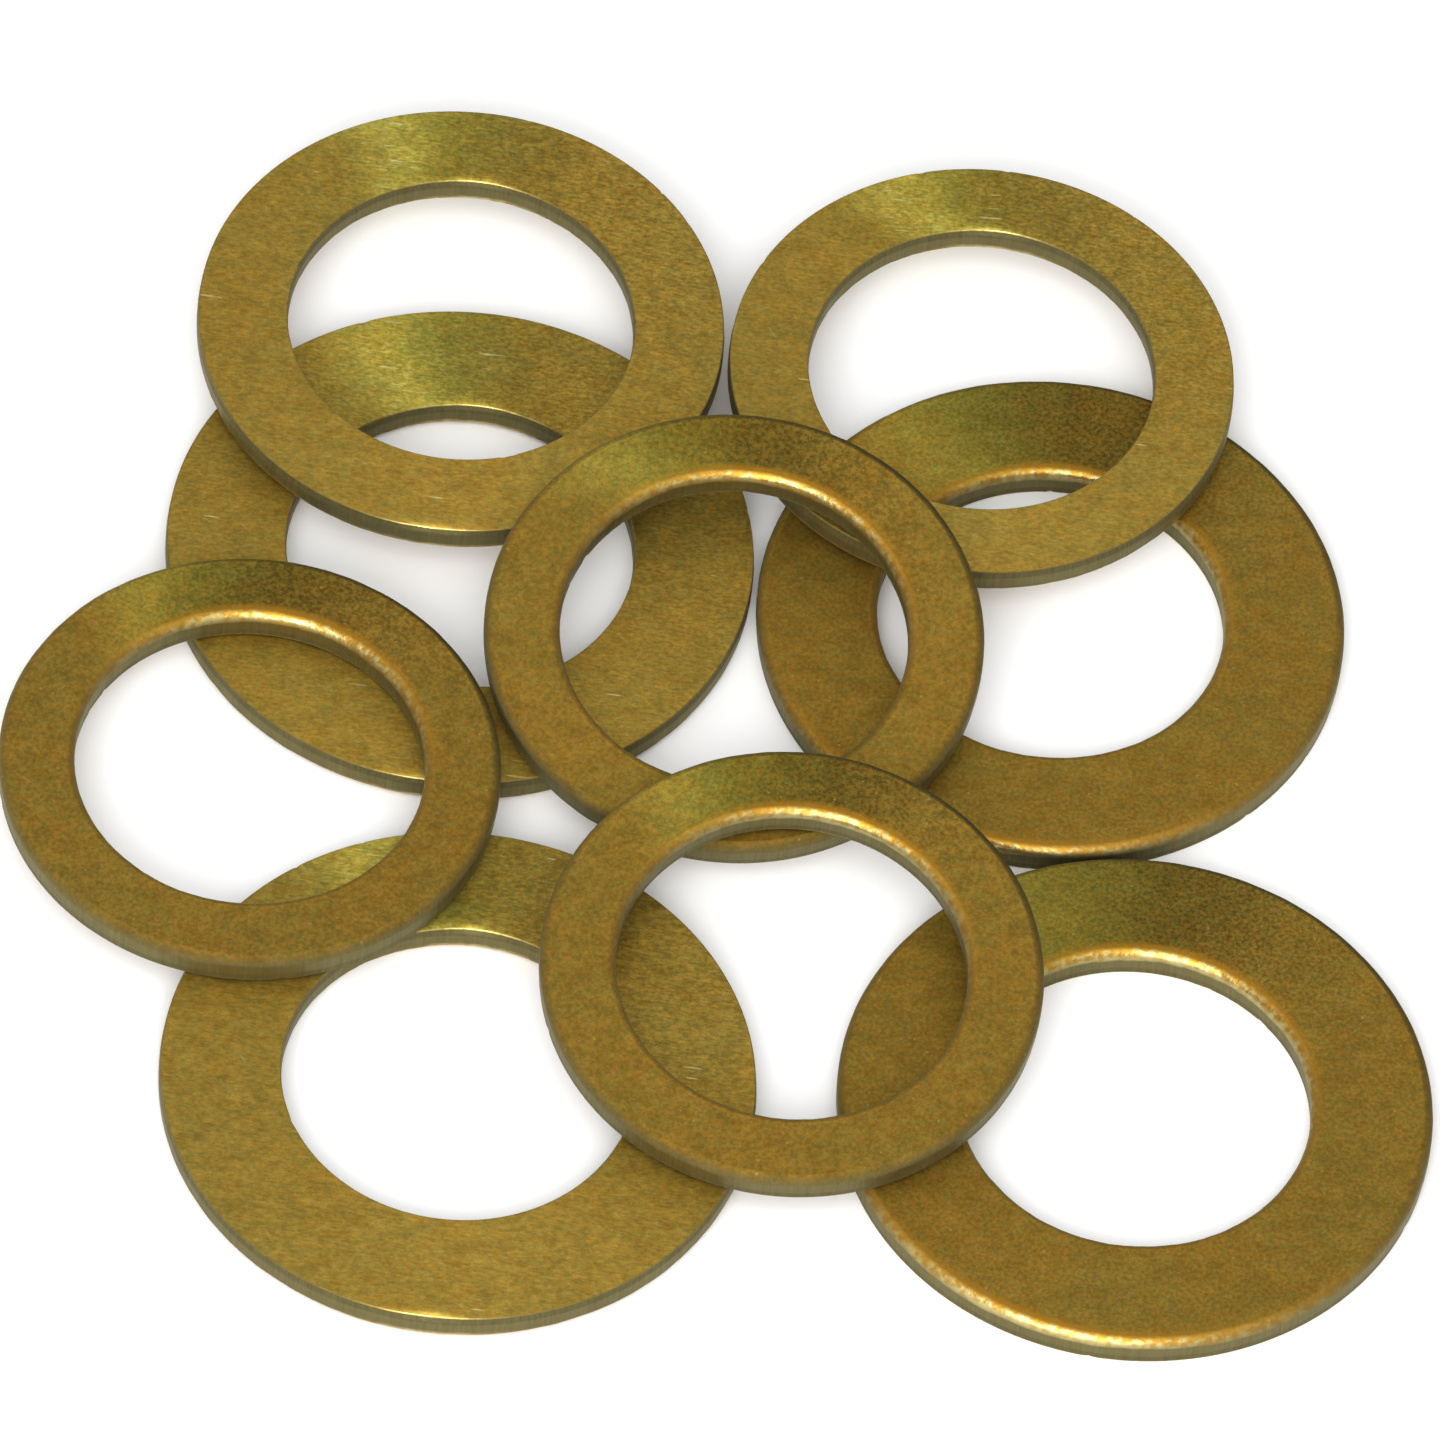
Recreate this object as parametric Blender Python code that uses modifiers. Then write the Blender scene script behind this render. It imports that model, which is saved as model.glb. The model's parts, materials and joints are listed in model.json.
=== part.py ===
"""A loose heap of flat brass washers.

Every washer is a ring stamped from sheet.  The punch rounds the edges of one face over (the die roll)
and leaves the edges of the other face nearly sharp (the burr side).  Four wide washers lie on the
table, three lie level one layer up, and the last two lean on the washers under them.
"""
import math
from collections import namedtuple

import bmesh
import bpy
from mathutils import Quaternion, Vector

# Driving dimensions, in metres.
BORE_RADIUS = 0.00655       # clears a half-inch bolt by 0.2 mm all round
THICKNESS = 0.00125         # the sheet that all the washers are stamped from
WIDE_RADIUS = 0.0111        # full-width washers, outside radius
BROAD_RADIUS = 0.0100       # the next three widths, each with a narrower ring
MEDIUM_RADIUS = 0.0096
NARROW_RADIUS = 0.0094
DIE_ROLL = 0.0003           # radius of the rounded edges on the die-rolled face
BURR_BREAK = 0.00008        # small break on the edges of the burr face
REST_GAP = 0.0001           # clearance kept where one washer lies on another

FLATS = 60                  # flats round a ring: a multiple of 4 puts the full diameter on X and Y
ROLL_FLATS = 2              # flats across each rounded edge
CONTACT_SAMPLES = 360       # places round each edge where contact is looked for

# A washer's place in the heap.  Its layer is the number of washers under it where it lies level, or
# LEANS where it is propped up by its neighbours.
LEANS = None
Washer = namedtuple("Washer", "name x y radius roll_side_up layer")
WASHERS = (
    Washer("left_back_washer", -0.0110, 0.0079, WIDE_RADIUS, False, 0),
    Washer("right_back_washer", 0.0114, 0.0076, WIDE_RADIUS, True, 0),
    Washer("front_left_washer", -0.0089, -0.0164, WIDE_RADIUS, False, 0),
    Washer("front_right_washer", 0.0162, -0.0143, WIDE_RADIUS, True, 0),
    Washer("top_left_washer", -0.0119, 0.0175, BROAD_RADIUS, False, 1),
    Washer("top_right_washer", 0.0079, 0.0177, MEDIUM_RADIUS, False, 1),
    Washer("left_washer", -0.0179, -0.0039, NARROW_RADIUS, True, 1),
    Washer("centre_washer", -0.0004, 0.0039, NARROW_RADIUS, True, LEANS),
    Washer("front_centre_washer", 0.0030, -0.0112, NARROW_RADIUS, True, LEANS),
)

# Bare brass in its two finishes: principled base colour and roughness.
BRUSHED = ("brushed_brass", (0.33, 0.22, 0.05), 0.34)
TUMBLED = ("tumbled_brass", (0.28, 0.18, 0.04), 0.45)

# The underside of a placed washer: the centre of its bottom face and its upward normal.
Seat = namedtuple("Seat", "washer centre normal")


def clear_scene():
    for old in list(bpy.data.objects):
        bpy.data.objects.remove(old)


def brass(name, colour, roughness):
    material = bpy.data.materials.new(name)
    material.use_nodes = True
    shader = material.node_tree.nodes["Principled BSDF"]
    shader.inputs["Base Color"].default_value = (*colour, 1.0)
    shader.inputs["Metallic"].default_value = 1.0
    shader.inputs["Roughness"].default_value = roughness
    return material


def arc(centre_r, centre_z, start_degrees, end_degrees):
    """Points on a rounded edge of the section, as (radius, height)."""
    points = []
    for step in range(ROLL_FLATS + 1):
        angle = math.radians(start_degrees + (end_degrees - start_degrees) * step / ROLL_FLATS)
        points.append((centre_r + DIE_ROLL * math.cos(angle), centre_z + DIE_ROLL * math.sin(angle)))
    return points


def ring_section(outer_radius):
    """Section of a washer about mid-thickness, die-rolled face up, running down the outside first."""
    half = THICKNESS / 2
    outside = arc(outer_radius - DIE_ROLL, half - DIE_ROLL, 90, 0)
    underside = [
        (outer_radius, BURR_BREAK - half),
        (outer_radius - BURR_BREAK, -half),
        (BORE_RADIUS + BURR_BREAK, -half),
        (BORE_RADIUS, BURR_BREAK - half),
    ]
    bore = arc(BORE_RADIUS + DIE_ROLL, half - DIE_ROLL, 180, 90)
    return outside + underside + bore


def turned_ring(name, outer_radius):
    """A washer at the origin: its section swept once round Z."""
    section = ring_section(outer_radius)
    mesh = bpy.data.meshes.new(name)
    corners = [(radius, 0.0, height) for radius, height in section]
    sides = [(i, (i + 1) % len(section)) for i in range(len(section))]
    mesh.from_pydata(corners, sides, [])
    ring = bpy.data.objects.new(name, mesh)
    screw = ring.modifiers.new("Turn", "SCREW")
    screw.axis = "Z"
    screw.angle = 2 * math.pi
    screw.steps = FLATS
    screw.render_steps = FLATS
    screw.use_smooth_shade = True
    ring.modifiers.new("Level faces", "WEIGHTED_NORMAL")
    return ring


def circle_points(washer, radius):
    for step in range(CONTACT_SAMPLES):
        angle = 2 * math.pi * step / CONTACT_SAMPLES
        yield washer.x + radius * math.cos(angle), washer.y + radius * math.sin(angle)


def under_ring(washer, x, y):
    """True where a plan position lies under the washer's ring, not in its bore or outside it."""
    return BORE_RADIUS <= math.hypot(x - washer.x, y - washer.y) <= washer.radius


def height_on(seat, x, y):
    """Height of the surface that a placed washer offers to the next one."""
    rise = THICKNESS + REST_GAP - seat.normal.x * (x - seat.centre.x) - seat.normal.y * (y - seat.centre.y)
    return seat.centre.z + rise / seat.normal.z


def obstacles(washer, seats):
    """Everything under a washer's ring that could hold it up: the table at its rim, and ring edges."""
    points = [Vector((x, y, 0.0)) for x, y in circle_points(washer, washer.radius)]
    for seat in seats:
        edges = [(washer, washer.radius), (washer, BORE_RADIUS)]
        edges += [(seat.washer, seat.washer.radius), (seat.washer, BORE_RADIUS)]
        for owner, radius in edges:
            for x, y in circle_points(owner, radius):
                if under_ring(washer, x, y) and under_ring(seat.washer, x, y):
                    points.append(Vector((x, y, height_on(seat, x, y))))
    return points


def facet_holds(corners, x, y):
    """True where a plan position lies inside a convex facet seen from above."""
    turns = []
    for start, end in zip(corners, corners[1:] + corners[:1]):
        turns.append((end.x - start.x) * (y - start.y) - (end.y - start.y) * (x - start.x))
    return all(turn >= 0 for turn in turns) or all(turn <= 0 for turn in turns)


def leaning_seat(washer, seats):
    """Where a propped-up washer comes to rest.

    A loose washer settles until the obstacles under it hold it on every side of its centre of mass.
    Its underside then lies on the top facet of the obstacles' convex hull that is over that centre.
    """
    hull = bmesh.new()
    for point in obstacles(washer, seats):
        hull.verts.new(point)
    bmesh.ops.convex_hull(hull, input=hull.verts)
    best = None
    for face in hull.faces:
        corners = [vertex.co for vertex in face.verts]
        normal = face.normal if face.normal.z > 0 else -face.normal
        if normal.z < 0.5 or not facet_holds(corners, washer.x, washer.y):
            continue
        slope = normal.x * (washer.x - corners[0].x) + normal.y * (washer.y - corners[0].y)
        height = corners[0].z - slope / normal.z
        if best is None or height > best.centre.z:
            best = Seat(washer, Vector((washer.x, washer.y, height)), normal.copy())
    hull.free()
    return best


def level_seat(washer):
    height = washer.layer * (THICKNESS + REST_GAP)
    return Seat(washer, Vector((washer.x, washer.y, height)), Vector((0.0, 0.0, 1.0)))


def settle_heap():
    """Place the washers from the bottom of the heap to the top."""
    seats = []
    for washer in WASHERS:
        seats.append(leaning_seat(washer, seats) if washer.layer is LEANS else level_seat(washer))
    return seats


def place(ring, seat):
    """Move a ring to its seat, turned over where its burr side is up."""
    lean = Vector((0.0, 0.0, 1.0)).rotation_difference(seat.normal)
    turn_over = Quaternion() if seat.washer.roll_side_up else Quaternion((1.0, 0.0, 0.0), math.pi)
    ring.rotation_mode = "QUATERNION"
    ring.rotation_quaternion = lean @ turn_over
    ring.location = seat.centre + seat.normal * (THICKNESS / 2)


def main():
    clear_scene()
    collection = bpy.data.collections.new("Washer heap")
    bpy.context.scene.collection.children.link(collection)
    heap = bpy.data.objects.new("washer_heap", None)
    collection.objects.link(heap)
    brushed, tumbled = brass(*BRUSHED), brass(*TUMBLED)
    for seat in settle_heap():
        ring = turned_ring(seat.washer.name, seat.washer.radius)
        ring.data.materials.append(tumbled if seat.washer.roll_side_up else brushed)
        ring.parent = heap
        place(ring, seat)
        collection.objects.link(ring)


main()
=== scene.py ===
import json
import math
from collections import namedtuple

import bpy
import numpy as np
from mathutils import Matrix, Quaternion, Vector


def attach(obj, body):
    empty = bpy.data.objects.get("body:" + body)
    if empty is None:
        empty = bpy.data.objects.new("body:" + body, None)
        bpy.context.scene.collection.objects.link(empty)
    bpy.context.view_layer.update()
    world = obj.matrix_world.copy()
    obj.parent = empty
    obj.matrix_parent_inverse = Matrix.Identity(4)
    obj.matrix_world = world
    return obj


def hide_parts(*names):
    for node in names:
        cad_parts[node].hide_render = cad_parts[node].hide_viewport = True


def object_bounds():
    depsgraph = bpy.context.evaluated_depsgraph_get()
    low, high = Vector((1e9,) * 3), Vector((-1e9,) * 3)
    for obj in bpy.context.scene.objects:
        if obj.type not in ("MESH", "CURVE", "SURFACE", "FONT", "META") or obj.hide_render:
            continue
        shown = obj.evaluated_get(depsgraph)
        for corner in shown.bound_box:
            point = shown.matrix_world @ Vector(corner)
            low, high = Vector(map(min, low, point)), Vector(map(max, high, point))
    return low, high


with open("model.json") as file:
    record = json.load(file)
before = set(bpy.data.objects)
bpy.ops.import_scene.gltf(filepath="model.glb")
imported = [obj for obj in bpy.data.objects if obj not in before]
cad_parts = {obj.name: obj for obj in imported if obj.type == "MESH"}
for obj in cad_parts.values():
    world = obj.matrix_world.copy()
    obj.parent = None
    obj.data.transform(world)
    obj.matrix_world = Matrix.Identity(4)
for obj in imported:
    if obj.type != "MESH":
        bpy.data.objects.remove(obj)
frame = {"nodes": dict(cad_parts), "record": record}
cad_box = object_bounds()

MM = 0.001

# The stamped section, in metres.
ROLL_REACH = 0.38 * MM          # how far the die roll runs in from the edge
ROLL_DEPTH = 0.44 * MM          # how far it drops
SHOULDER = 0.24 * MM            # how far the painted orange highlight runs in from the start of the roll
ROLL_CHATTER = 0.14             # share by which the roll's depth varies round the edge
BURR_RADIUS = 0.07 * MM         # the burr after deburring
FRACTURE_SHARE = 0.45           # share of the cut wall that tore instead of shearing
FRACTURE_TAPER = 0.03 * MM      # how far the torn band falls back from the sheared band
FRACTURE_GRAIN = 0.010 * MM     # roughness of the torn band
FACE_WAVE = 0.006 * MM          # how far a face wanders from flat
NICKS_PER_EDGE = 6
NICK_DEPTH = 0.035 * MM         # of the deepest nick
NICK_SHALLOWEST = 0.3           # the shallowest nick, as a share of the deepest
NICK_WIDTHS = (0.06, 0.18)      # the narrowest and the widest, in millimetres
NICK_REACH = 0.16 * MM
WORN_DEPTH = 0.11 * MM          # how far wear has pushed back the burr's edge
WORN_REACH = 0.19 * MM
WORN_LENGTH = 1.5 * MM
WORN_FACING = 270               # the bearing that the worn stretches face
SAME_HEIGHT = 1e-7              # heights closer than this, in metres, count as one
CAD_HEIGHT = 1e-6               # the same for the CAD's own points

TURNS = 480                     # columns of faces round a washer
COLUMN_ANGLES = np.linspace(0, 2 * np.pi, TURNS, endpoint=False)
# Rows of faces across each part of the section.
FACE_ROWS = 14
ROLL_ROWS = 11
SHEAR_ROWS = 4
FRACTURE_ROWS = 6
BURR_ROWS = 4

# What the mesh tells its material at each vertex.
LABELS = ("roll", "burr", "wall", "torn", "shoulder", "painted_sheen_and_shade", "green", "coarse", "polish", "tarnish")

Ring = namedtuple("Ring", "centre axis outer bore thickness roll_up")
Row = namedtuple("Row", "radius height roll burr wall torn shoulder")

# A fan-shaped stretch of a washer: its bearing and half-width in degrees, anticlockwise from +X, and its
# strength in the middle, which is below 0 where it darkens.
Fan = namedtuple("Fan", "bearing width gain", defaults=(1.0,))

# A finish: linear colours of its two tones, its roughness, the fans of painted sheen and painted shade on
# its face, and then where an olive tint goes with that painted sheen and shade, where the grain is
# strongest, which way an edge faces where it is burnished and painted with a highlight, and where an
# outside edge is darkened with painted shade.
Finish = namedtuple("Finish", "slot amber olive roughness fans green coarse polish tarnish")
BRUSHED = Finish(
    "brushed_brass", (0.341, 0.212, 0.033), (0.303, 0.220, 0.042), 0.58,
    (Fan(113, 10, 0.58), Fan(80, 17, -0.14), Fan(280, 45, 0.16)),
    Fan(106, 22), Fan(60, 70), Fan(269, 10), Fan(55, 45, 0.4),
)
TUMBLED = Finish(
    "tumbled_brass", (0.280, 0.160, 0.023), (0.242, 0.167, 0.029), 0.58,
    (Fan(128, 12, 0.42), Fan(86, 22, -0.35), Fan(245, 40, 0.03)),
    Fan(115, 24), Fan(78, 34), Fan(256, 34), Fan(50, 46, 0.85),
)
FINISHES = {
    "left_back_washer": BRUSHED,
    "right_back_washer": TUMBLED,
    "front_left_washer": BRUSHED,
    "front_right_washer": TUMBLED,
    "top_left_washer": BRUSHED,
    "top_right_washer": BRUSHED,
    "left_washer": TUMBLED,
    "centre_washer": TUMBLED,
    "front_centre_washer": TUMBLED,
}

# These washers' outside edges are as dull as the cut and get no painted highlight, and only their bores'
# edges are burnished and painted with a highlight.
DULL_OUTSIDE = ("top_right_washer", "left_washer", "centre_washer", "front_centre_washer")

FAN_SHIFT = 2                   # the most that a washer's fans turn together, in degrees
FAN_WOBBLE = 3                  # how far they bend across the ring, in degrees

# What the olive tint painted with the sheen and shade multiplies a face's red, green and blue by.
PAINTED_OLIVE_TINT = (0.87, 1.09, 1.02)

# Linear colours of marks and edges.  A pair holds the two ends that a material mixes.
# The colour of painted glints.
GLINT = (0.74, 0.60, 0.24)
SCRATCH = (0.80, 0.68, 0.32)
HAIRLINE = (0.60, 0.46, 0.18)
FLECK = (0.62, 0.42, 0.12)
PIT = (0.13, 0.085, 0.02)
SHEARED = ((0.148, 0.125, 0.050), (0.194, 0.164, 0.068))
RAGGED = ((0.124, 0.106, 0.044), (0.174, 0.148, 0.062))
# The rolled edge's painted highlight, orange at the face and pale towards the wall.
ROLLED_EDGE_HIGHLIGHT = ((0.42, 0.215, 0.026), (0.56, 0.475, 0.205))
# The painted highlight of a worn burr that faces the front.
WORN_EDGE_HIGHLIGHT = (0.74, 0.58, 0.20)
# The painted orange highlight on the face's shoulder, beside an edge that faces the front.
SHOULDER_GLOW = (0.46, 0.225, 0.018)
# Painted shade on the outside edges on the far side of each washer.
PAINTED_FAR_EDGE_SHADE = (0.045, 0.042, 0.016)

BUMP_HEIGHT = 0.015 * MM
BUMP_STRENGTH = 0.3
EDGE_RIPPLE = 7.0               # the bump of the burnished edges, in times the face's own


# ---------------------------------------------------------------- shape

def measure_ring(node):
    """A CAD washer's centre, axis and radii, read from its mesh."""
    points = np.array([v.co for v in frame["nodes"][node].data.vertices])
    middle = points.mean(0)
    axis = np.linalg.svd(points - middle, full_matrices=False)[2][2]
    axis = axis if axis[2] > 0 else -axis
    heights = (points - middle) @ axis
    radii = np.linalg.norm((points - middle) - np.outer(heights, axis), axis=1)
    centre = middle + axis * (heights.max() + heights.min()) / 2
    top_reach = radii[heights > heights.max() - CAD_HEIGHT].max()
    bottom_reach = radii[heights < heights.min() + CAD_HEIGHT].max()
    return Ring(
        Vector(centre), Vector(axis), radii.max(), radii.min(),
        heights.max() - heights.min(), top_reach < bottom_reach,
    )


def smooth(t):
    return t * t * (3 - 2 * t)


def cut_edge(radius, outward, half):
    """One stamped edge from the die-rolled face down to the burr face.

    outward is 1 for the outside edge and -1 for the bore.
    """
    rows = []
    for k in range(ROLL_ROWS + 1):
        angle = math.pi / 2 * (1 - k / ROLL_ROWS)
        r = radius - outward * ROLL_REACH * (1 - math.cos(angle))
        z = half - ROLL_DEPTH * (1 - math.sin(angle))
        roll = math.sin(math.pi * k / ROLL_ROWS) ** 0.5
        shoulder = max(0.0, 1 - 3 * k / ROLL_ROWS)
        rows.append(Row(r, z, roll, 0.0, smooth(k / ROLL_ROWS), 0.0, shoulder))
    top, bottom = half - ROLL_DEPTH, BURR_RADIUS - half
    break_height = bottom + (top - bottom) * FRACTURE_SHARE
    for k in range(1, SHEAR_ROWS + 1):
        z = top + (break_height - top) * k / SHEAR_ROWS
        rows.append(Row(radius, z, 0.0, 0.0, 1.0, 0.0, 0.0))
    for k in range(1, FRACTURE_ROWS + 1):
        share = k / FRACTURE_ROWS
        z = break_height + (bottom - break_height) * share
        r = radius - outward * FRACTURE_TAPER * smooth(share)
        rows.append(Row(r, z, 0.0, 0.0, 1.0, 1.0, 0.0))
    for k in range(1, BURR_ROWS + 1):
        angle = math.pi / 2 * k / BURR_ROWS
        r = radius - outward * (FRACTURE_TAPER + BURR_RADIUS * (1 - math.cos(angle)))
        z = bottom - BURR_RADIUS * math.sin(angle)
        burr = math.sin(math.pi * k / BURR_ROWS) ** 0.5
        rows.append(Row(r, z, 0.0, burr, 1 - k / BURR_ROWS, 0.0, 0.0))
    return rows


def face_rows(start, end, height):
    """The rows between two edges, closer together near each edge.  The upper face is the rolled one."""
    rows = []
    for k in range(1, FACE_ROWS):
        share = smooth(k / FACE_ROWS)
        inset = min(share, 1 - share) * abs(end - start)
        shoulder = max(0.0, 1 - inset / SHOULDER) if height > 0 else 0.0
        rows.append(Row(start + (end - start) * share, height, 0.0, 0.0, 0.0, 0.0, shoulder))
    return rows


def washer_section(ring):
    """Closed section, from the rolled face's outside edge round to its bore edge and back.

    It is a Row that holds an array of values for each of its fields.
    """
    half = ring.thickness / 2
    outside = cut_edge(ring.outer, 1, half)
    bore = cut_edge(ring.bore, -1, half)
    under = face_rows(outside[-1].radius, bore[-1].radius, -half)
    top = face_rows(bore[0].radius, outside[0].radius, half)
    return Row(*np.array(outside + under + bore[::-1] + top).T)


def periodic_noise(rng, waves, roughness):
    """Smooth noise round a circle, from -1 to 1, as a sum of random waves."""
    total = np.zeros(TURNS)
    for octave, count in enumerate(waves):
        total += roughness**octave * np.cos(count * COLUMN_ANGLES + rng.uniform(0, 2 * np.pi))
    return total / np.abs(total).max()


def turn_between(first, second):
    """The angle from one bearing to another, from -180 to 180 degrees."""
    return (first - second + 180) % 360 - 180


def press_edge(radius, height, bearing, edge, at, width, depth, reach):
    """Pushes an edge in round one bearing, as a knock or wear does.

    edge holds the edge's radius, its height, and 1 for the outside or -1 for the bore.
    """
    edge_radius, edge_height, outward = edge
    along = np.radians(turn_between(bearing, at))[:, None] * edge_radius
    away = np.hypot(radius - edge_radius, height - edge_height)
    push = depth * np.exp(-(along / width) ** 2) * np.exp(-(away / reach) ** 2)
    radius -= outward * push
    height -= np.sign(edge_height) * push


def washer_points(ring, section, bearing, outside_burnish_and_highlight, rng):
    """Every vertex of a washer as an array (turns, rows, xyz), with its marks pressed in."""
    radius = np.tile(section.radius, (TURNS, 1))
    height = np.tile(section.height, (TURNS, 1))
    half = ring.thickness / 2
    outward = np.where(radius > (ring.bore + ring.outer) / 2, 1.0, -1.0)

    # A face wanders a few microns, always inwards so that the washer keeps its thickness.
    wave = periodic_noise(rng, (2, 3, 5, 8), 0.5)[:, None]
    across = np.sin(np.pi * (radius - ring.bore) / (ring.outer - ring.bore)).clip(0)
    flat = np.abs(height) > half - SAME_HEIGHT
    height -= np.sign(height) * flat * FACE_WAVE * (1 + wave) * across

    # The die roll is deeper in some places than in others.
    in_roll = (height < half - SAME_HEIGHT) & (height > half - ROLL_DEPTH - SAME_HEIGHT)
    for side in (1.0, -1.0):
        chatter = ROLL_CHATTER * periodic_noise(rng, (7, 13, 29, 47, 83), 0.8)[:, None]
        height -= (outward == side) * in_roll * chatter * (half - height)

    # The torn band is grainy.
    grain = rng.uniform(0, 1, radius.shape)
    grain = (grain + np.roll(grain, 1, 0)) / 2
    radius -= outward * section.torn * FRACTURE_GRAIN * grain

    # Nicks along the four edges, from washers knocking together, and a worn stretch on an upper burr.
    edges = ((ring.outer, 1, WORN_FACING), (ring.bore, -1, WORN_FACING + 180))
    for edge_radius, side, facing in edges:
        for edge_height in (half, -half):
            for _ in range(NICKS_PER_EDGE):
                at = rng.uniform(0, 360)
                width = rng.uniform(*NICK_WIDTHS) * MM
                depth = rng.uniform(NICK_SHALLOWEST, 1.0) * NICK_DEPTH
                edge = (edge_radius, edge_height, side)
                press_edge(radius, height, bearing, edge, at, width, depth, NICK_REACH)
        if not ring.roll_up:
            burr_edge = (edge_radius, -half, side)
            worn = WORN_DEPTH * (outside_burnish_and_highlight if side > 0 else 1)
            press_edge(radius, height, bearing, burr_edge, facing, WORN_LENGTH, worn, WORN_REACH)
    x = radius * np.cos(COLUMN_ANGLES)[:, None]
    y = radius * np.sin(COLUMN_ANGLES)[:, None]
    return np.stack([x, y, height], 2)


def fan_strength(bearing, fan, squeeze=1.0):
    """How much of a fan falls on each bearing: its gain in the middle, and none far away."""
    return fan.gain * np.exp(-(turn_between(bearing, fan.bearing) * squeeze / fan.width) ** 2)


def world_bearing(points, world):
    """The bearing of each point from the washer's centre, in the heap's frame."""
    placed = points @ np.array(world.to_3x3()).T
    return np.degrees(np.arctan2(placed[:, 1], placed[:, 0]))


def washer_mesh(name, ring, finish, outside_burnish_and_highlight, rng, world):
    """The section swept round the washer, with a label on each vertex for the material to read."""
    section = washer_section(ring)
    columns = np.stack([np.cos(COLUMN_ANGLES), np.sin(COLUMN_ANGLES), np.zeros(TURNS)], 1)
    points = washer_points(ring, section, world_bearing(columns, world), outside_burnish_and_highlight, rng)
    rows = points.shape[1]
    index = np.arange(TURNS * rows).reshape(TURNS, rows)
    ahead, down = np.roll(index, -1, 0), np.roll(index, -1, 1)
    both = np.roll(ahead, -1, 1)
    faces = np.stack([index, down, both, ahead], 2).reshape(-1, 4)
    flat = points.reshape(-1, 3)
    mesh = bpy.data.meshes.new(name)
    mesh.from_pydata(flat.tolist(), [], faces.tolist())

    # The fans' bearings wobble a little across the ring.  A bore's edge faces inwards, and its burnished
    # stretch, with its painted highlight, is as long as the one outside, so it spans a wider angle.
    radius = np.linalg.norm(flat[:, :2], axis=1)
    across = (radius - ring.bore) / (ring.outer - ring.bore)
    straight = world_bearing(flat, world)
    outside = across > 0.5
    facing = straight + np.where(outside, 0, 180)
    shift = rng.uniform(-FAN_SHIFT, FAN_SHIFT)
    bearing = straight + shift + FAN_WOBBLE * np.sin(4 * across + rng.uniform(0, 6))
    labels = {label: np.tile(values, TURNS) for label, values in section._asdict().items()}
    # The face's brightness: fans of painted sheen and painted shade, at the same bearings on every washer.
    labels["painted_sheen_and_shade"] = 1 + sum(fan_strength(bearing, fan) for fan in finish.fans)
    labels["green"] = fan_strength(bearing, finish.green)
    labels["coarse"] = fan_strength(bearing, finish.coarse)
    # Edges that face the front are burnished, smoother, and painted with a highlight.
    labels["polish"] = fan_strength(facing, finish.polish, radius / ring.outer)
    labels["polish"][outside] *= outside_burnish_and_highlight
    # Outside edges on the far side get painted shade.
    labels["tarnish"] = outside * fan_strength(bearing, finish.tarnish)
    for label in LABELS:
        values = labels[label].astype(np.float32)
        mesh.attributes.new(label, "FLOAT", "POINT").data.foreach_set("value", values)
    mesh.shade_smooth()
    return mesh


def seat(ring):
    """The world matrix that lays a washer, modelled rolled side up, into its CAD place."""
    lean = Vector((0, 0, 1)).rotation_difference(ring.axis)
    over = Quaternion() if ring.roll_up else Quaternion((1, 0, 0), math.pi)
    return Matrix.Translation(ring.centre) @ (lean @ over).to_matrix().to_4x4()


# ---------------------------------------------------------------- materials

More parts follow.
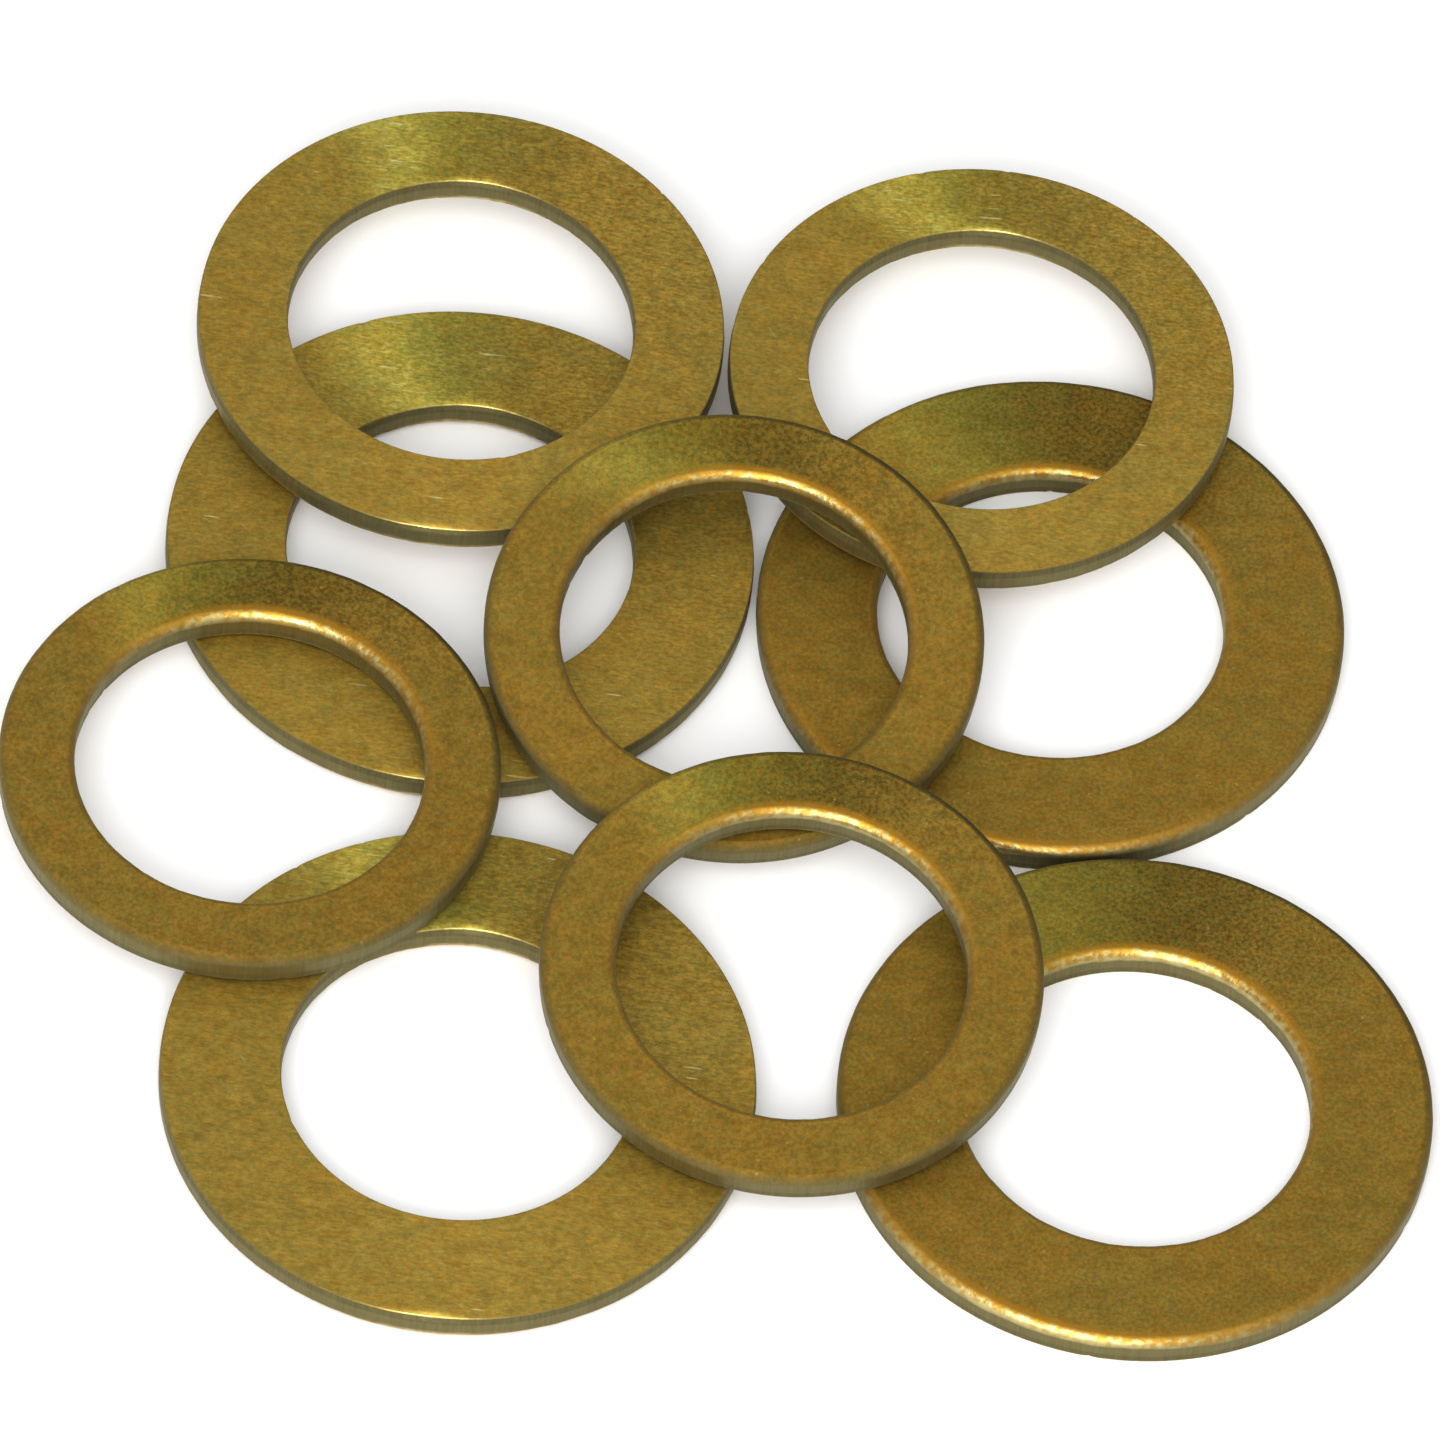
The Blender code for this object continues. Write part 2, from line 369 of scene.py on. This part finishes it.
class Nodes:
    """A material's node tree, built with one call for each node.  Positions are in millimetres."""

    def __init__(self, name, offset=(0, 0, 0)):
        self.material = bpy.data.materials.new(name)
        self.material.use_nodes = True
        self.tree = self.material.node_tree
        self.shader = self.tree.nodes["Principled BSDF"]
        self.offset = offset

    def add(self, kind, inputs=None, **settings):
        node = self.tree.nodes.new("ShaderNode" + kind)
        for key, value in settings.items():
            setattr(node, key, value)
        for key, value in (inputs or {}).items():
            self.put(node.inputs[key], value)
        return node

    def put(self, socket, value):
        if isinstance(value, bpy.types.NodeSocket):
            self.tree.links.new(value, socket)
        else:
            socket.default_value = value

    def place(self, cell=(1, 1, 1), turn=0.0):
        """Object coordinates counted in cells of the given size, turned about the washer's axis."""
        metres = self.add("TexCoord").outputs["Object"]
        return self.add("Mapping", {
            "Vector": metres, "Location": [v * MM for v in self.offset],
            "Rotation": (0, 0, turn), "Scale": [c * MM for c in cell],
        }, vector_type="TEXTURE").outputs["Vector"]

    def noise(self, cell, detail=2.0, roughness=0.5, turn=0.0):
        node = self.add("TexNoise", {
            "Vector": self.place(cell, turn), "Scale": 1.0, "Detail": detail, "Roughness": roughness,
        })
        return node.outputs["Fac"]

    def ramp(self, value, low, high, to_low=0.0, to_high=1.0):
        node = self.add("MapRange", {
            "Value": value, "From Min": low, "From Max": high, "To Min": to_low, "To Max": to_high,
        })
        return node.outputs["Result"]

    def math(self, operation, first, second=0.0, clamp=False):
        node = self.add("Math", {0: first, 1: second}, operation=operation, use_clamp=clamp)
        return node.outputs[0]

    def times(self, first, second):
        return self.math("MULTIPLY", first, second)

    def mix(self, factor, first, second):
        node = self.add("Mix", data_type="RGBA")
        for socket, value in ((0, factor), (6, first), (7, second)):
            opaque = isinstance(value, tuple) and len(value) == 3
            self.put(node.inputs[socket], value + (1,) if opaque else value)
        return node.outputs[2]

    def scaled(self, colour, factor):
        node = self.add("VectorMath", {0: colour}, operation="SCALE")
        self.put(node.inputs["Scale"], factor)
        return node.outputs["Vector"]

    def label(self, name):
        return self.add("Attribute", attribute_name=name).outputs["Fac"]

    def marks(self, cell, keep, size, turn=0.0):
        """Sparse marks, at most one in a cell.

        keep is the share of cells with a mark, and size the largest mark's radius in cells.
        """
        place = self.place(cell, turn)
        cells = self.add("TexVoronoi", {"Vector": place, "Scale": 1.0}, voronoi_dimensions="2D")
        chance = self.add("SeparateColor", {"Color": cells.outputs["Color"]})
        radius = self.ramp(chance.outputs["Green"], 0, 1, size * 0.35, size)
        inside = self.ramp(self.math("SUBTRACT", radius, cells.outputs["Distance"]), 0, size * 0.3)
        chosen = self.math("GREATER_THAN", chance.outputs["Red"], self.math("SUBTRACT", 1.0, keep))
        return self.times(inside, chosen)


def face_colour(n, finish):
    """Two tones of brass in soft patches, with an olive tint that goes with the painted sheen and shade,
    and the painted sheen and painted shade of the paler and darker fans.
    """
    patches = n.ramp(n.noise((3.5, 3.5, 3.5), 2.0), 0.35, 0.65, -0.3, 0.3)
    mottle = n.ramp(n.noise((0.50, 0.32, 0.4), 3.0, 0.6), 0.38, 0.62, 0.05, 0.95)
    smudges = n.ramp(n.noise((0.9, 0.7, 0.8), 4.0, 0.6), 0.35, 0.65, 0.88, 1.10)
    colour = n.mix(n.math("ADD", patches, mottle, True), finish.amber, finish.olive)
    # The olive tint is painted where the painted sheen and shade fall.
    greenish = n.add("VectorMath", {0: colour, 1: PAINTED_OLIVE_TINT}, operation="MULTIPLY")
    colour = n.mix(n.label("green"), colour, greenish.outputs["Vector"])
    return n.scaled(colour, n.times(smudges, n.label("painted_sheen_and_shade")))


def grained(n, colour, grain, least, most):
    """Lets the grain lighten and darken the colour, by the share most where the grain is coarse."""
    swing = n.ramp(n.label("coarse"), 0, 1, least, most)
    return n.scaled(colour, n.math("ADD", 1.0, n.times(swing, n.ramp(grain, 0.35, 0.65, -1.0, 1.0))))


def brushed_surface(n, colour, rng):
    """Short fine lines in a fine grain, painted glints, a few bright scratches that crowd into the painted
    sheen, and faint hairlines across.
    """
    turn = rng.uniform(-0.06, 0.06)
    lines = n.noise((0.42, 0.10, 1.0), 3.0, 0.65, turn)
    colour = grained(n, colour, lines, 0.12, 0.20)
    colour = grained(n, colour, n.noise((0.20, 0.16, 0.20), 2.0, 0.7), 0.15, 0.25)
    # Painted glints: the lines are painted paler where the painted sheen falls.
    glints = n.times(n.ramp(n.label("painted_sheen_and_shade"), 1.12, 1.50), n.ramp(lines, 0.56, 0.72))
    colour = n.mix(n.times(glints, 0.5), colour, GLINT)
    # The bright scratches are real marks. They crowd into the painted sheen, where they also stand as a
    # painted highlight.
    near_fan = n.ramp(n.label("painted_sheen_and_shade"), 1.15, 1.5, 0.04, 0.45)
    dashes = n.marks((3.2, 0.30, 1), near_fan, 0.16, turn)
    scratches = n.times(dashes, n.ramp(lines, 0.35, 0.65, 0.25, 1.0))
    hairlines = n.marks((7.0, 0.9, 1), 0.3, 0.05, turn + rng.uniform(0.5, 1.0))
    colour = n.mix(n.times(scratches, 0.85), colour, SCRATCH)
    colour = n.mix(n.times(hairlines, 0.25), colour, HAIRLINE)
    return colour, lines, scratches


def tumbled_surface(n, colour, rng):
    """A fine even grain with small bright flecks and dark pits."""
    grain = n.noise((0.16, 0.16, 0.16), 2.0, 0.7)
    colour = grained(n, colour, grain, 0.20, 0.38)
    flecks = n.marks((0.5, 0.5, 1), 0.08, 0.14)
    pits = n.marks((0.6, 0.6, 1), 0.08, 0.13, 1.0)
    colour = n.mix(n.times(flecks, 0.3), colour, FLECK)
    colour = n.mix(n.times(pits, 0.4), colour, PIT)
    return colour, grain, flecks


def brass(name, finish, rng):
    """Bare brass: the face's finish, the dull cut wall, and the edges, burnished with a painted highlight
    where they face the front and darkened with painted shade on the far side.
    """
    n = Nodes(name, tuple(rng.uniform(-60, 60, 3)))
    surface = brushed_surface if finish is BRUSHED else tumbled_surface
    colour, relief, marks = surface(n, face_colour(n, finish), rng)
    roll, burr, wall, torn, polish = map(n.label, ("roll", "burr", "wall", "torn", "polish"))

    # The cut wall is streaked from face to face.
    streaks = n.noise((0.09, 0.09, 2.0), 2.0, 0.6)
    streaked = n.ramp(streaks, 0.3, 0.7)
    colour = n.mix(wall, colour, n.mix(torn, n.mix(streaked, *SHEARED), n.mix(streaked, *RAGGED)))

    # The roll carries a painted highlight where it is burnished and faces the front: orange at the face,
    # and paler in ripples and at the wall.
    ripple = n.noise((0.30, 0.30, 0.30), 2.0, 0.5)
    unburnished_unlit = n.math("SUBTRACT", 1.0, polish)
    pale = n.math("SUBTRACT", n.ramp(ripple, 0.4, 0.6, -0.35, 0.45), n.times(unburnished_unlit, 0.6))
    paler = n.math("ADD", wall, pale, True)
    rolled_highlight_share = n.ramp(n.math("SQRT", polish), 0, 1, 0.04, 0.90)
    colour = n.mix(n.times(roll, rolled_highlight_share), colour, n.mix(paler, *ROLLED_EDGE_HIGHLIGHT))
    # The burr is painted with a pale highlight where it faces the front, broken into segments by the
    # ripples.
    worn = n.times(n.ramp(polish, 0, 1, 0.05, 0.85), n.ramp(ripple, 0.38, 0.58, 0.35, 1.0))
    colour = n.mix(n.times(burr, worn), colour, WORN_EDGE_HIGHLIGHT)
    # A painted orange highlight on the face's shoulder, beside an edge that faces the front.
    glow = n.times(n.label("shoulder"), n.times(polish, 0.8))
    colour = n.mix(glow, colour, SHOULDER_GLOW)
    edges = n.math("MAXIMUM", roll, burr)
    # Painted shade darkens the outside edges on the far side of each washer.
    colour = n.mix(n.times(edges, n.label("tarnish")), colour, PAINTED_FAR_EDGE_SHADE)
    n.put(n.shader.inputs["Base Color"], colour)
    n.shader.inputs["Metallic"].default_value = 1.0

    # Polished edges and marks are smoother than the face, and dull edges and the torn band rougher.
    blotches = n.ramp(n.noise((1.1, 1.1, 1.1), 3.0), 0.3, 0.7, -0.04, 0.06)
    rough = n.math("ADD", blotches, finish.roughness)
    rough = n.math("SUBTRACT", rough, n.times(n.times(edges, polish), 0.26))
    rough = n.math("ADD", rough, n.times(n.times(edges, unburnished_unlit), 0.28))
    rough = n.math("SUBTRACT", rough, n.times(marks, 0.10))
    n.put(n.shader.inputs["Roughness"], n.math("ADD", rough, n.times(torn, 0.15)))

    on_wall = n.times(wall, n.math("SUBTRACT", streaks, relief))
    on_edges = n.times(edges, n.times(ripple, EDGE_RIPPLE))
    height = n.math("ADD", n.math("ADD", relief, on_wall), on_edges)
    bump = n.add("Bump", {"Height": height, "Strength": BUMP_STRENGTH, "Distance": BUMP_HEIGHT})
    n.put(n.shader.inputs["Normal"], bump.outputs["Normal"])
    return n.material


# ---------------------------------------------------------------- washers

body_of = {node: body for body, nodes in frame["record"]["behaviour"]["bodies"].items() for node in nodes}

for seed, (node, finish) in enumerate(FINISHES.items()):
    rng = np.random.default_rng(seed)
    ring = measure_ring(node)
    label = "stamped_" + node
    outside_burnish_and_highlight = 0 if node in DULL_OUTSIDE else 1
    mesh = washer_mesh(label, ring, finish, outside_burnish_and_highlight, rng, seat(ring))
    washer = bpy.data.objects.new(label, mesh)
    bpy.context.scene.collection.objects.link(washer)
    washer.matrix_world = seat(ring)
    washer.data.materials.append(brass(finish.slot + "_" + node, finish, rng))
    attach(washer, body_of[node])
    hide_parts(node)

# ---------------------------------------------------------------- floor, light and camera

low, high = cad_box
middle = (low + high) / 2

FLOOR_RADIUS = 1.2
FLOOR_CLEARANCE = 0.01 * MM
FLOOR_SIDES = 64
bpy.ops.mesh.primitive_circle_add(vertices=FLOOR_SIDES, radius=FLOOR_RADIUS, fill_type="NGON")
floor = bpy.context.object
floor.name = "floor"
floor.location = (middle.x, middle.y, low.z - FLOOR_CLEARANCE)
paper = Nodes("paper")
paper.shader.inputs["Base Color"].default_value = (0.93, 0.93, 0.93, 1)
paper.shader.inputs["Roughness"].default_value = 0.9
paper.shader.inputs["Specular IOR Level"].default_value = 0.2
floor.data.materials.append(paper.material)

# The studio's walls are darker than its ceiling.
HORIZON_STRENGTH = 0.45
CEILING_STRENGTH = 0.80
CEILING_RISE = 0.5              # the sine of the elevation where the ceiling begins
world = bpy.data.worlds.new("studio")
bpy.context.scene.world = world
world.use_nodes = True
background = world.node_tree.nodes["Background"]
background.inputs["Color"].default_value = (1, 1, 1, 1)
direction = world.node_tree.nodes.new("ShaderNodeTexCoord")
upward = world.node_tree.nodes.new("ShaderNodeSeparateXYZ")
brightness = world.node_tree.nodes.new("ShaderNodeMapRange")
brightness.inputs["From Min"].default_value = 0.0
brightness.inputs["From Max"].default_value = CEILING_RISE
brightness.inputs["To Min"].default_value = HORIZON_STRENGTH
brightness.inputs["To Max"].default_value = CEILING_STRENGTH
world.node_tree.links.new(direction.outputs["Generated"], upward.inputs["Vector"])
world.node_tree.links.new(upward.outputs["Z"], brightness.inputs["Value"])
world.node_tree.links.new(brightness.outputs["Result"], background.inputs["Strength"])

SOFTBOX_DISTANCE = 0.9


def softbox(name, direction, width, height, power):
    """A rectangular lamp that faces the heap from the given direction."""
    data = bpy.data.lights.new(name, "AREA")
    data.shape = "RECTANGLE"
    data.size = width
    data.size_y = height
    data.energy = power
    lamp = bpy.data.objects.new(name, data)
    bpy.context.scene.collection.objects.link(lamp)
    towards = Vector(direction).normalized()
    lamp.location = middle + towards * SOFTBOX_DISTANCE
    lamp.rotation_mode = "QUATERNION"
    lamp.rotation_quaternion = towards.to_track_quat("Z", "Y")


softbox("front", (-0.17, -0.87, 0.45), width=0.60, height=0.75, power=6.4)
softbox("fill", (0.0, -0.62, 0.78), width=1.0, height=1.0, power=6.2)

ELEVATION = math.radians(53.7)
CAMERA_ROLL = math.radians(5.9)
FRAME_WIDTH = 54.1 * MM         # what the picture spans, at the point that the camera looks at
AIM = Vector((-0.6, 1.94, 0.0)) * MM
LENS = 600.0
SENSOR = 36.0
camera_data = bpy.data.cameras.new("camera")
camera_data.lens = LENS
camera_data.sensor_width = SENSOR
camera = bpy.data.objects.new("camera", camera_data)
bpy.context.scene.collection.objects.link(camera)
towards = Vector((0, -math.cos(ELEVATION), math.sin(ELEVATION)))
camera.location = AIM + towards * (FRAME_WIDTH * LENS / SENSOR)
camera.rotation_mode = "QUATERNION"
camera.rotation_quaternion = towards.to_track_quat("Z", "Y") @ Quaternion((0, 0, 1), CAMERA_ROLL)
bpy.context.scene.camera = camera
bpy.context.scene.view_settings.view_transform = "Standard"
